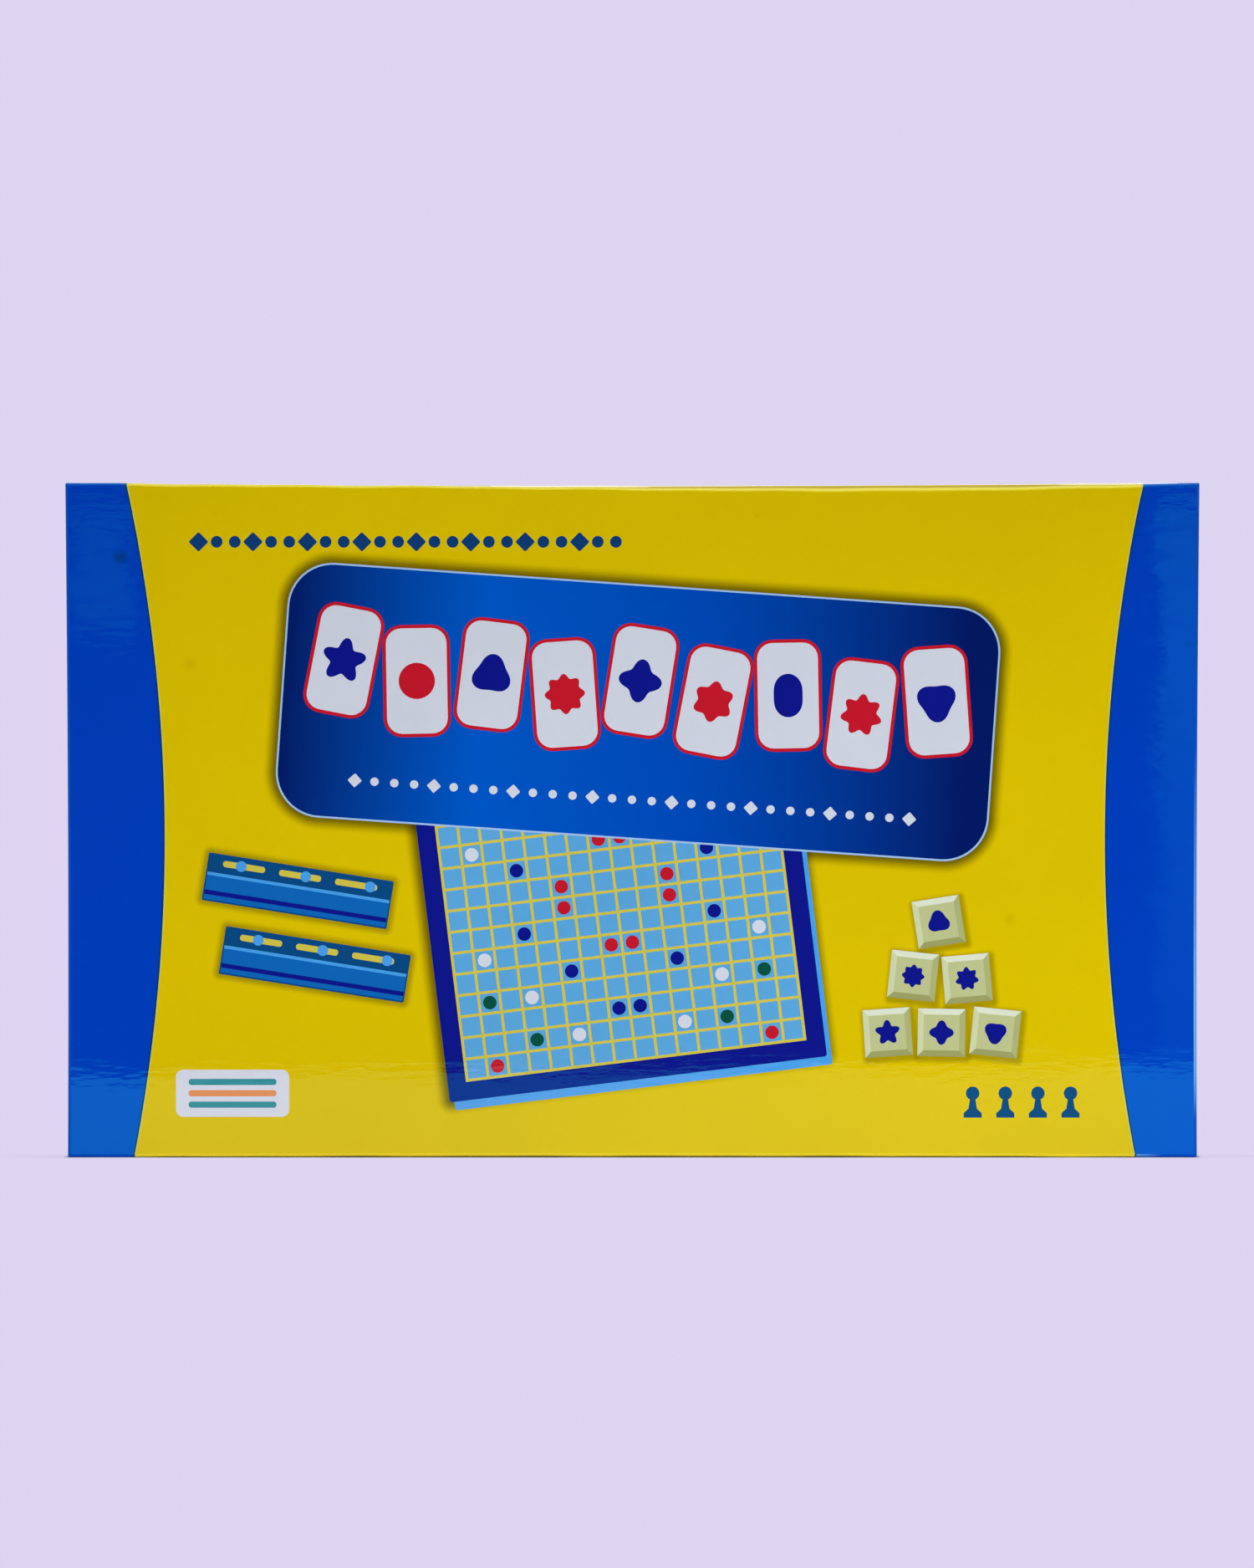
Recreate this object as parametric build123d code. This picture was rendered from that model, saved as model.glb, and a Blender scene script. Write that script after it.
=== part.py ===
from build123d import *
import math
import os

# A boxed word game, standing on its long edge with the printed lid facing -Y.
# X runs along the box, Y from the lid's face to the base's back, Z up.
# The origin is on the floor, under the middle of the box. Sizes are in millimetres.

# Box
LID_WIDTH = 400.0
LID_HEIGHT = 238.0
BOX_DEPTH = 45.0
PAPER = 0.2  # printed wrap paper
GREYBOARD = 1.6  # box board under the wrap
LID_REVEAL = 5.0  # strip of the base that shows behind the lid's rim
LID_FIT = 1.0  # gap between the lid's inside and the base, each side
TURN_IN = 15.0  # wrap folded over the rim and glued inside
SEAT = 0.2  # a piece that rests on another stays this far from it
FIT = 0.3  # side clearance of the loose contents

# Folding board, stored folded with its play faces together
BOARD_SIDE_ROOM = 7.0  # free room in the base at each side of the board
BOARD_FINGER_ROOM = 39.5  # free room above it, to lift it out
CORE = 1.7
SHEET = 0.15  # face and backing papers of the board
PLAY_GAP = 0.2  # between the two play faces when folded
HINGE_RADIUS = 0.6  # cloth bead along the fold
HINGE_CLEAR = 0.1

# Rules leaflet, one sheet folded once
LEAFLET_WIDTH = 210.0
LEAFLET_HEIGHT = 148.0
LEAF = 0.12
LEAF_GAP = 0.06

# Tile racks with score pointers
RACK_DEPTH = 30.0
RACK_HEADROOM = 2.4  # between a stored rack's ridge and the mouth of its well
RACK_END_ROOM = 6.25  # from the rack wells to the ends of their tray
RACK_WALL = 1.8
RIDGE = 7.0  # flat top of the rack
PANEL_DROP = 12.5  # height of the sloping score panel
PANEL_RUN = 5.5  # how far the score panel leans forward
GROOVE_FLOOR = 4.0
GROOVE_WIDTH = 5.5
LIP_HEIGHT = 9.0
RACK_ROWS = 2
RACKS_IN_ROW = 2
SCORE_NAMES = ("hundreds", "tens", "units")
SCORE_GAP = 19.5  # between the digit 9 of one scale and the 0 of the next
SCORE_MARGIN = 4.0  # from the outer scales' half gaps to the rack's ends
SLOT_WIDTH = 2.6
SLOT_BELOW_MIDDLE = 0.6
POINTER_PLAY = 0.15
POINTER_NECK = 3.0
POINTER_BASE = 6.5
POINTER_LENGTH = 6.0
POINTER_TIP = 3.1  # above the slot's middle
POINTER_THICK = 1.3
BUTTON_WIDTH = 5.0
BUTTON_HEIGHT = 4.4
BUTTON_THICK = 1.2

# Letter tiles
TILE_SIDE = 18.5
TILE_THICK = 4.6
TILE_RIM = 3.2  # height of the upright edge, below the bevel
TILE_FACE = 14.3
TILE_CORNER = 1.2
TILE_GAP = 0.4
TILE_COLUMNS = 5
TILE_ROWS = 5
TILE_SIDE_ROOM = 30.0  # from the tile wells to the ends of their tray
DEALING_COUNT = 37  # letters are dealt over the places in steps of this many
LETTER_TILES = (  # the tiles of each letter, and last the blank ones
    "aaaaaaaaa bb cc dddd eeeeeeeeeeee ff ggg hh iiiiiiiii j k llll mm nnnnnn"
    " oooooooo pp q rrrrrr ssss tttttt uuuu vv ww x yy z --"
).split()

# Formed plastic trays
TRAY_SKIN = 0.8
TRAY_CORNER = 3.0
WELL_RIB = 2.4
FINGER_WELL_RIB = 12.55  # between the finger well and the tile wells
FINGER_WELL_UNDER = 5.9  # room left under the finger well
FINGER_WELL_CORNER = 8.0
TILE_HEADROOM = 0.6


# Places that follow from the sizes above
WALL = PAPER + GREYBOARD
RIM_WALL = WALL + PAPER  # wall with the turn-in on its inside

LID_FACE_Y = -BOX_DEPTH / 2
LID_RIM_Y = BOX_DEPTH / 2 - LID_REVEAL
LID_INSIDE_Y = LID_FACE_Y + WALL

BASE_WIDTH = LID_WIDTH - 2 * (RIM_WALL + LID_FIT)
BASE_HEIGHT = LID_HEIGHT - 2 * (RIM_WALL + LID_FIT)
BASE_LOW_Z = RIM_WALL + SEAT
BASE_BACK_Y = BOX_DEPTH / 2
BASE_RIM_Y = LID_INSIDE_Y + SEAT
BASE_FLOOR_Y = BASE_BACK_Y - WALL

ROOM_WIDTH = BASE_WIDTH - 2 * RIM_WALL
ROOM_LOW_Z = BASE_LOW_Z + RIM_WALL
ROOM_HIGH_Z = BASE_LOW_Z + BASE_HEIGHT - RIM_WALL

PANEL = CORE + 2 * SHEET
BOARD_FRONT_Y = LID_INSIDE_Y + 2 * SEAT
FOLD_Y = BOARD_FRONT_Y + PANEL + PLAY_GAP / 2
BOARD_BACK_Y = FOLD_Y + PLAY_GAP / 2 + PANEL
BOARD_WIDTH = ROOM_WIDTH - 2 * BOARD_SIDE_ROOM
BOARD_LOW_Z = ROOM_LOW_Z + FIT
FOLD_Z = ROOM_HIGH_Z - BOARD_FINGER_ROOM
PANEL_HEIGHT = FOLD_Z - HINGE_RADIUS - HINGE_CLEAR - BOARD_LOW_Z

LEAFLET_THICK = 2 * LEAF + LEAF_GAP
LEAFLET_FRONT_Y = BOARD_BACK_Y + SEAT
TRAY_TOP_Y = LEAFLET_FRONT_Y + LEAFLET_THICK + SEAT
TRAY_BACK_Y = BASE_FLOOR_Y - SEAT
TRAY_WIDTH = ROOM_WIDTH - 2 * FIT

RACK_WELL_HEIGHT = RACK_DEPTH + 2 * FIT
RACK_WELL_WIDTH = TRAY_WIDTH - 2 * RACK_END_ROOM
RACK_WELL_CORNER = 2 * FIT
RACK_LENGTH = (RACK_WELL_WIDTH - FIT) / RACKS_IN_ROW - FIT
RACK_ROW_PITCH = RACK_WELL_HEIGHT + WELL_RIB
RACK_TRAY_LOW_Z = ROOM_LOW_Z + FIT
RACK_TRAY_HEIGHT = RACK_ROWS * RACK_ROW_PITCH + WELL_RIB
RACK_FLOOR_Y = TRAY_BACK_Y - TRAY_SKIN
RACK_HEIGHT = RACK_FLOOR_Y - SEAT - TRAY_TOP_Y - RACK_HEADROOM

TILE_TRAY_LOW_Z = RACK_TRAY_LOW_Z + RACK_TRAY_HEIGHT + FIT
TILE_TRAY_HEIGHT = ROOM_HIGH_Z - FIT - TILE_TRAY_LOW_Z
TILE_TRAY_Z = TILE_TRAY_LOW_Z + TILE_TRAY_HEIGHT / 2
TILE_PITCH = TILE_SIDE + TILE_GAP
TILE_LAYER = TILE_THICK + SEAT
TILE_LAYERS = math.ceil(len("".join(LETTER_TILES)) / (2 * TILE_COLUMNS * TILE_ROWS))
TILE_WELL_WIDTH = TILE_COLUMNS * TILE_PITCH + TILE_GAP
TILE_WELL_HEIGHT = TILE_ROWS * TILE_PITCH + TILE_GAP
TILE_WELL_DEPTH = TILE_LAYERS * TILE_LAYER + TILE_HEADROOM
TILE_WELL_CORNER = TILE_CORNER + 2 * TILE_GAP
TILE_WELL_X = TRAY_WIDTH / 2 - TILE_SIDE_ROOM - TILE_WELL_WIDTH / 2
TILE_FLOOR_Y = TRAY_TOP_Y + TILE_WELL_DEPTH
FINGER_WELL_WIDTH = 2 * TILE_WELL_X - TILE_WELL_WIDTH - 2 * FINGER_WELL_RIB
FINGER_WELL_DEPTH = TRAY_BACK_Y - TRAY_TOP_Y - FINGER_WELL_UNDER

PANEL_SLOPE = math.hypot(PANEL_RUN, PANEL_DROP)
SCORE_PITCH = (RACK_LENGTH - 2 * SCORE_MARGIN) / len(SCORE_NAMES)
SCORE_TRAVEL = SCORE_PITCH - SCORE_GAP
SLOT_LENGTH = SCORE_TRAVEL + POINTER_NECK + 2 * POINTER_PLAY


def block(x0, x1, y0, y1, z0, z1):
    """A box between two corners, given in any order."""
    middle = Pos((x0 + x1) / 2, (y0 + y1) / 2, (z0 + z1) / 2)
    return middle * Box(abs(x1 - x0), abs(y1 - y0), abs(z1 - z0))


def rounded_block(x, z, width, height, back_y, front_y, corner):
    """A box along Y with its four Y edges rounded."""
    outline = Plane.XZ.offset(-back_y) * Pos(x, z) * RectangleRounded(width, height, corner)
    return extrude(outline, amount=back_y - front_y)


# Set-up box: a greyboard shell and the paper glued over it

def board_shell(width, height, low_z, face_y, rim_y):
    """Greyboard panel with four walls, the wrap's thickness inside the outer size."""
    out = 1 if rim_y > face_y else -1
    half = width / 2 - PAPER
    low, high = low_z + PAPER, low_z + height - PAPER
    outer = block(-half, half, face_y + out * PAPER, rim_y - out * PAPER, low, high)
    hollow = block(
        GREYBOARD - half, half - GREYBOARD,
        face_y + out * WALL, rim_y,
        low + GREYBOARD, high - GREYBOARD,
    )
    return outer - hollow


def wall_wrap(place, start, end, fold, face_y, rim_y):
    """Paper over one wall: down the outside, over the rim and up the inside.

    place turns a stretch of the wall and a depth in from its outside into X and Z.
    fold is how far the rim and the inside stay short of the outside's ends."""
    out = 1 if rim_y > face_y else -1

    def strip(short, y0, y1, depth0, depth1):
        x0, z0 = place(start + short, depth0)
        x1, z1 = place(end - short, depth1)
        return block(x0, x1, y0, y1, z0, z1)

    rim_short, inside_short = fold
    outside = strip(0, face_y + out * PAPER, rim_y - out * PAPER, 0, PAPER)
    over_rim = strip(rim_short, rim_y - out * PAPER, rim_y, 0, RIM_WALL)
    inside = strip(inside_short, rim_y - out * TURN_IN, rim_y, WALL, RIM_WALL)
    return outside + over_rim + inside


def wrap_sheets(width, height, low_z, face_y, rim_y):
    """The wrap, cut at its folds: the face, two long walls and two short walls."""
    out = 1 if rim_y > face_y else -1
    half = width / 2
    high_z = low_z + height
    face = block(-half, half, face_y, face_y + out * PAPER, low_z, high_z)
    long_fold = (0, WALL)
    low_wall = wall_wrap(lambda s, d: (s, low_z + d), -half, half, long_fold, face_y, rim_y)
    high_wall = wall_wrap(lambda s, d: (s, high_z - d), -half, half, long_fold, face_y, rim_y)
    low_end, high_end = low_z + PAPER, high_z - PAPER
    short_fold = (WALL, WALL)
    left_wall = wall_wrap(lambda s, d: (d - half, s), low_end, high_end, short_fold, face_y, rim_y)
    right_wall = wall_wrap(lambda s, d: (half - d, s), low_end, high_end, short_fold, face_y, rim_y)
    return Compound(children=[face, low_wall, high_wall, left_wall, right_wall])


# Folding board

def panel_sheets(play_y, away):
    """Face paper, core and backing of one panel, from its play face away from the fold."""
    low, high = BOARD_LOW_Z, BOARD_LOW_Z + PANEL_HEIGHT
    half = BOARD_WIDTH / 2
    layers = []
    y = play_y
    for thick in (SHEET, CORE, SHEET):
        layers.append(block(-half, half, y, y + away * thick, low, high))
        y += away * thick
    return layers


def board_hinge():
    """Cloth bead that the two panels fold about."""
    return Pos(0, FOLD_Y, FOLD_Z) * Rot(Y=90) * Cylinder(HINGE_RADIUS, BOARD_WIDTH)


def leaflet():
    """One sheet folded along its top edge, hanging as two leaves."""
    half = LEAFLET_WIDTH / 2
    low = ROOM_LOW_Z + FIT
    high = low + LEAFLET_HEIGHT
    back_y = LEAFLET_FRONT_Y + LEAFLET_THICK
    folded = block(-half, half, LEAFLET_FRONT_Y, back_y, low, high)
    gap_front = LEAFLET_FRONT_Y + LEAF
    return folded - block(-half, half, gap_front, gap_front + LEAF_GAP, low, high - LEAF)


# Formed trays

def formed_tray(low_z, height, wells):
    """Thin formed sheet with a skirt and open wells: (x, z, width, height, depth, corner)."""
    middle_z = low_z + height / 2
    sheet = rounded_block(0, middle_z, TRAY_WIDTH, height, TRAY_BACK_Y, TRAY_TOP_Y, TRAY_CORNER)
    under = rounded_block(
        0, middle_z, TRAY_WIDTH - 2 * TRAY_SKIN, height - 2 * TRAY_SKIN,
        TRAY_BACK_Y, TRAY_TOP_Y + TRAY_SKIN, TRAY_CORNER - TRAY_SKIN,
    )
    for x, z, wide, high, depth, corner in wells:
        floor_y = TRAY_TOP_Y + depth
        sheet -= rounded_block(x, z, wide, high, floor_y, TRAY_TOP_Y, corner)
        under -= rounded_block(
            x, z, wide + 2 * TRAY_SKIN, high + 2 * TRAY_SKIN,
            floor_y + TRAY_SKIN, TRAY_TOP_Y, corner + TRAY_SKIN,
        )
    return sheet - under


def rack_row_z(row):
    return RACK_TRAY_LOW_Z + WELL_RIB + RACK_WELL_HEIGHT / 2 + row * RACK_ROW_PITCH


def rack_tray():
    depth = RACK_FLOOR_Y - TRAY_TOP_Y
    wells = [
        (0, rack_row_z(row), RACK_WELL_WIDTH, RACK_WELL_HEIGHT, depth, RACK_WELL_CORNER)
        for row in range(RACK_ROWS)
    ]
    return formed_tray(RACK_TRAY_LOW_Z, RACK_TRAY_HEIGHT, wells)


def tile_tray():
    tile_well = (TILE_TRAY_Z, TILE_WELL_WIDTH, TILE_WELL_HEIGHT, TILE_WELL_DEPTH, TILE_WELL_CORNER)
    finger_well = (
        0, TILE_TRAY_Z, FINGER_WELL_WIDTH, TILE_WELL_HEIGHT, FINGER_WELL_DEPTH, FINGER_WELL_CORNER)
    wells = [(-TILE_WELL_X, *tile_well), finger_well, (TILE_WELL_X, *tile_well)]
    return formed_tray(TILE_TRAY_LOW_Z, TILE_TRAY_HEIGHT, wells)


# Racks and pointers, drawn standing on the table with the front towards -Y

def score_plane():
    """On the score panel's front, its middle at the slots' height: X along, Y up the panel."""
    lean = Vector(0, -PANEL_DROP, PANEL_RUN).normalized()
    down = Vector(0, -PANEL_RUN, -PANEL_DROP).normalized()
    top = Vector(0, -RIDGE, RACK_HEIGHT)
    return Plane(top + down * (PANEL_SLOPE / 2 + SLOT_BELOW_MIDDLE), x_dir=(1, 0, 0), z_dir=lean)


def rack():
    groove_back = RACK_DEPTH - RACK_WALL - GROOVE_WIDTH
    knee = (-RIDGE - PANEL_RUN, RACK_HEIGHT - PANEL_DROP)
    outline = [
        (0, 0), (0, RACK_HEIGHT), (-RIDGE, RACK_HEIGHT), knee,
        (-groove_back, GROOVE_FLOOR), (RACK_WALL - RACK_DEPTH, GROOVE_FLOOR),
        (RACK_WALL - RACK_DEPTH, LIP_HEIGHT), (-RACK_DEPTH, LIP_HEIGHT), (-RACK_DEPTH, 0),
    ]
    whole = make_face(Polyline(*outline, close=True))
    cavity_outline = [
        (0, 0), (0, RACK_HEIGHT), (-RIDGE, RACK_HEIGHT), knee,
        (-groove_back, GROOVE_FLOOR), (-RACK_DEPTH, GROOVE_FLOOR), (-RACK_DEPTH, 0),
    ]
    cavity = offset(make_face(Polyline(*cavity_outline, close=True)), -RACK_WALL, kind=Kind.INTERSECTION)
    open_foot = Pos(-RACK_DEPTH / 2, RACK_WALL / 2) * Rectangle(RACK_DEPTH - 2 * RACK_WALL, RACK_WALL)
    section = whole - cavity - open_foot
    body = extrude(Plane.YZ * section, amount=RACK_LENGTH / 2, both=True)
    for n in range(len(SCORE_NAMES)):
        slot = score_plane() * Pos(score_x(n), 0, -2 * RACK_WALL) * SlotOverall(SLOT_LENGTH, SLOT_WIDTH)
        body -= extrude(slot, amount=3 * RACK_WALL, dir=score_plane().z_dir)
    return body


def score_x(n):
    return (n - (len(SCORE_NAMES) - 1) / 2) * SCORE_PITCH


def pointer(n):
    """Arrow on the front of the score panel, a neck through the slot and a button behind."""
    tail = POINTER_TIP - POINTER_LENGTH
    arrow = make_face(Polyline(
        (0, POINTER_TIP), (POINTER_BASE / 2, tail), (-POINTER_BASE / 2, tail), close=True))
    head = extrude(arrow, amount=POINTER_THICK)
    behind = -RACK_WALL - 2 * POINTER_PLAY
    neck_outline = Pos(0, 0, behind) * SlotOverall(POINTER_NECK, SLOT_WIDTH - 2 * POINTER_PLAY)
    neck = extrude(neck_outline, amount=-behind)
    button = block(
        -BUTTON_WIDTH / 2, BUTTON_WIDTH / 2, -BUTTON_HEIGHT / 2, BUTTON_HEIGHT / 2,
        behind - BUTTON_THICK, behind,
    )
    at_zero = score_x(n) - SCORE_TRAVEL / 2
    return score_plane() * Pos(at_zero, 0, POINTER_PLAY) * (head + neck + button)


def rack_place(row, column):
    """Turns a standing rack on its back into its well, front downwards."""
    x = (column - (RACKS_IN_ROW - 1) / 2) * (RACK_LENGTH + FIT)
    back_z = rack_row_z(row) + RACK_DEPTH / 2
    return Pos(x, RACK_FLOOR_Y - SEAT, back_z) * Rot(X=90)


# Letter tiles

def tile():
    """Tile lying face up: an upright edge and a bevel up to a smaller face."""
    edge = extrude(RectangleRounded(TILE_SIDE, TILE_SIDE, TILE_CORNER), amount=TILE_RIM)
    wide = Pos(0, 0, TILE_RIM) * RectangleRounded(TILE_SIDE, TILE_SIDE, TILE_CORNER)
    narrow = Pos(0, 0, TILE_THICK) * RectangleRounded(TILE_FACE, TILE_FACE, TILE_CORNER / 2)
    return edge + loft([wide, narrow])


def tile_places():
    """Places of all tiles in the two wells, face towards the lid."""
    places = []
    for layer in range(TILE_LAYERS):
        for well_x in (-TILE_WELL_X, TILE_WELL_X):
            for row in range(TILE_ROWS):
                for column in range(TILE_COLUMNS):
                    x = well_x + (column - (TILE_COLUMNS - 1) / 2) * TILE_PITCH
                    z = TILE_TRAY_Z + (row - (TILE_ROWS - 1) / 2) * TILE_PITCH
                    y = TILE_FLOOR_Y - SEAT - layer * TILE_LAYER
                    places.append(Pos(x, y, z) * Rot(X=90))
    return places


def tile_groups():
    """The tiles of each letter, dealt over the places so that neighbours differ."""
    places = tile_places()
    one = tile()
    groups, dealt = {}, 0
    for same in LETTER_TILES:
        letter = "blank" if "-" in same else same[0]
        groups[letter] = []
        for _ in same:
            groups[letter].append(places[dealt * DEALING_COUNT % len(places)] * one)
            dealt += 1
    return groups


def build():
    nodes = {}
    lid = (LID_WIDTH, LID_HEIGHT, 0, LID_FACE_Y, LID_RIM_Y)
    nodes["lid_board"] = board_shell(*lid)
    nodes["lid_wrap"] = wrap_sheets(*lid)
    base = (BASE_WIDTH, BASE_HEIGHT, BASE_LOW_Z, BASE_BACK_Y, BASE_RIM_Y)
    nodes["base_board"] = board_shell(*base)
    nodes["base_wrap"] = wrap_sheets(*base)
    nodes["rack_tray"] = rack_tray()
    nodes["tile_tray"] = tile_tray()
    for panel, away in (("rear", 1), ("front", -1)):
        sheets = panel_sheets(FOLD_Y + away * PLAY_GAP / 2, away)
        for layer, sheet in zip(("face", "core", "back"), sheets):
            nodes[f"board_{layer}_{panel}"] = sheet
    nodes["board_hinge"] = board_hinge()
    nodes["rules_leaflet"] = leaflet()
    one_rack = rack()
    for row in range(RACK_ROWS):
        for column in range(RACKS_IN_ROW):
            number = row * RACKS_IN_ROW + column + 1
            nodes[f"rack_{number}"] = rack_place(row, column) * one_rack
            for n, score in enumerate(SCORE_NAMES):
                nodes[f"pointer_{number}_{score}"] = rack_place(row, column) * pointer(n)
    for letter, tiles in tile_groups().items():
        nodes[f"tiles_{letter}"] = Compound(children=tiles)
    return nodes


os.makedirs("parts", exist_ok=True)
for name, shape in build().items():
    export_step(shape, f"parts/{name}.step")
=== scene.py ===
import math

import bpy
from mathutils import Matrix, Vector
from mathutils.geometry import delaunay_2d_cdt


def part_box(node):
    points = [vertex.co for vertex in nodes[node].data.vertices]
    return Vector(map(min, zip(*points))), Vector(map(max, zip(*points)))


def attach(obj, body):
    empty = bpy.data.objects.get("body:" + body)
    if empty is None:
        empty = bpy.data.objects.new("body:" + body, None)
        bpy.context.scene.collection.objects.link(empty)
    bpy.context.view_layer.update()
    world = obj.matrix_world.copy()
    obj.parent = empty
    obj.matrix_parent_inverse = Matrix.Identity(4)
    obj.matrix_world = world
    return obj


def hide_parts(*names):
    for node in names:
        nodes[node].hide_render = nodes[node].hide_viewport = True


# Looks of the boxed word game around its CAD frame. The object is written in millimetres
# and made in metres. Camera, stage and lamps are written in metres. A printed face is
# drawn as flat regions in X and Z.

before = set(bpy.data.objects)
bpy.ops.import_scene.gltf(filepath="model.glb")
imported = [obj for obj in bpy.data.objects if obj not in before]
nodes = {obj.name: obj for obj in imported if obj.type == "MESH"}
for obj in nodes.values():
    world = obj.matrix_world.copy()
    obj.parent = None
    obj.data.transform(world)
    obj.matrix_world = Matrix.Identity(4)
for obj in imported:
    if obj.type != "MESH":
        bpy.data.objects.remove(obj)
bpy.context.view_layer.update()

MM = 0.001
PAPER = 0.2  # thickness of a wrap
WALL = 1.8  # paper and greyboard together
HAIR = 0.02  # gap between paper and greyboard
FOLD = 1.0  # radius of the folds round a box's face
CORNER = 0.6  # radius of a box's four corners
RIM_ROUND, RIM_CUT = 0.5, 0.15  # how a wrap goes round the edges of the rim
TURN_IN = 15.0  # how far a wrap turns in over the rim
LID_HALF, LID_HEIGHT = 200.0, 238.0  # half the width of the lid's face, and its height
BEND = 2.4  # how deep the extra bend of a long edge at the face reaches
END_BEND = 7.0  # how deep that of an end reaches
WHITE = (1, 1, 1, 1)
LAVENDER = (0.730, 0.665, 0.871, 1.0)  # floor and backdrop


# Materials

def linear(red, green, blue):
    """Linear colour of an 8-bit one."""
    def one(value):
        value /= 255
        return value / 12.92 if value <= 0.04045 else ((value + 0.055) / 1.055) ** 2.4
    return one(red), one(green), one(blue), 1.0


def toned(colour, factor):
    return tuple(min(c * factor, 1.0) for c in colour[:3]) + (1.0,)


class Nodes:
    """The node tree of a material or world under construction."""

    def __init__(self, owner):
        owner.use_nodes = True
        self.tree = owner.node_tree
        self.tree.nodes.clear()

    def node(self, kind, inputs=None, **settings):
        made = self.tree.nodes.new("ShaderNode" + kind)
        for key, value in settings.items():
            setattr(made, key, value)
        for key, value in (inputs or {}).items():
            if isinstance(value, bpy.types.NodeSocket):
                self.tree.links.new(value, made.inputs[key])
            else:
                made.inputs[key].default_value = value
        return made

    def calc(self, operation, *values):
        return self.node("Math", dict(enumerate(values)), operation=operation).outputs[0]

    def either(self, share, first, second):
        """The first shader where the share is 0, the second where it is 1."""
        return self.node("MixShader", {0: share, 1: first.outputs[0], 2: second.outputs[0]})


class Shader(Nodes):
    """A material under construction, in the object's own coordinates."""

    def __init__(self, name):
        self.material = bpy.data.materials.new(name)
        super().__init__(self.material)
        self.where = self.node("TexCoord").outputs["Object"]

    def noise(self, scale, detail=2.0, vector=None):
        inputs = {"Vector": vector or self.where, "Scale": scale, "Detail": detail}
        return self.node("TexNoise", inputs).outputs["Fac"]

    def vector(self, operation, *values):
        made = self.node("VectorMath", dict(enumerate(values)), operation=operation)
        return made.outputs["Value" if operation == "LENGTH" else "Vector"]

    def stretched(self, scale):
        return self.node("Mapping", {"Vector": self.where, "Scale": scale}).outputs[0]

    def placed(self, x, z, degrees):
        """Coordinates about a place on the face, given in millimetres, and turned there."""
        return self.node("Mapping", {
            "Vector": self.where, "Location": (x * MM, 0, z * MM),
            "Rotation": (0, -math.radians(degrees), 0),
        }, vector_type="TEXTURE").outputs[0]

    def span(self, value, low, high, start=0.0, end=1.0):
        made = self.node("MapRange", {
            "Value": value, "From Min": low, "From Max": high, "To Min": start, "To Max": end,
        }, interpolation_type="SMOOTHSTEP")
        return made.outputs["Result"]

    def ramp(self, value, *stops):
        made = self.node("ValToRGB", {"Fac": value})
        points = made.color_ramp.elements
        while len(points) < len(stops):
            points.new(0.5)
        for point, (position, colour) in zip(points, stops):
            point.position = position
            point.color = colour
        return made.outputs["Color"]

    def mix(self, factor, first, second):
        """Mixed colours. A Mix node has its colour sockets at 6 and 7, and at 2 going out."""
        return self.node("Mix", {0: factor, 6: first, 7: second}, data_type="RGBA").outputs[2]

    def bump(self, height, distance, normal=None):
        inputs = {"Height": height, "Distance": distance, "Strength": 1.0}
        if normal:
            inputs["Normal"] = normal
        return self.node("Bump", inputs).outputs[0]

    def softened(self, radius):
        return self.node("Bevel", {"Radius": radius}, samples=4).outputs[0]

    def away(self, x, z, width, height, degrees, corner):
        """Distance in metres from a turned round-cornered rectangle, given in millimetres."""
        offset = self.vector("ABSOLUTE", self.placed(x, z, degrees))
        half = ((width / 2 - corner) * MM, 1, (height / 2 - corner) * MM)
        outside = self.vector("MAXIMUM", self.vector("SUBTRACT", offset, half), (0, 0, 0))
        return self.calc("SUBTRACT", self.vector("LENGTH", outside), corner * MM)

    def backdrop(self):
        return self.node("Emission", {"Color": LAVENDER, "Strength": 1.0})

    def output(self, surface):
        self.node("OutputMaterial", {"Surface": surface.outputs[0]})
        return self.material

    def finish(self, inputs):
        return self.output(self.node("BsdfPrincipled", inputs))


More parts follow.
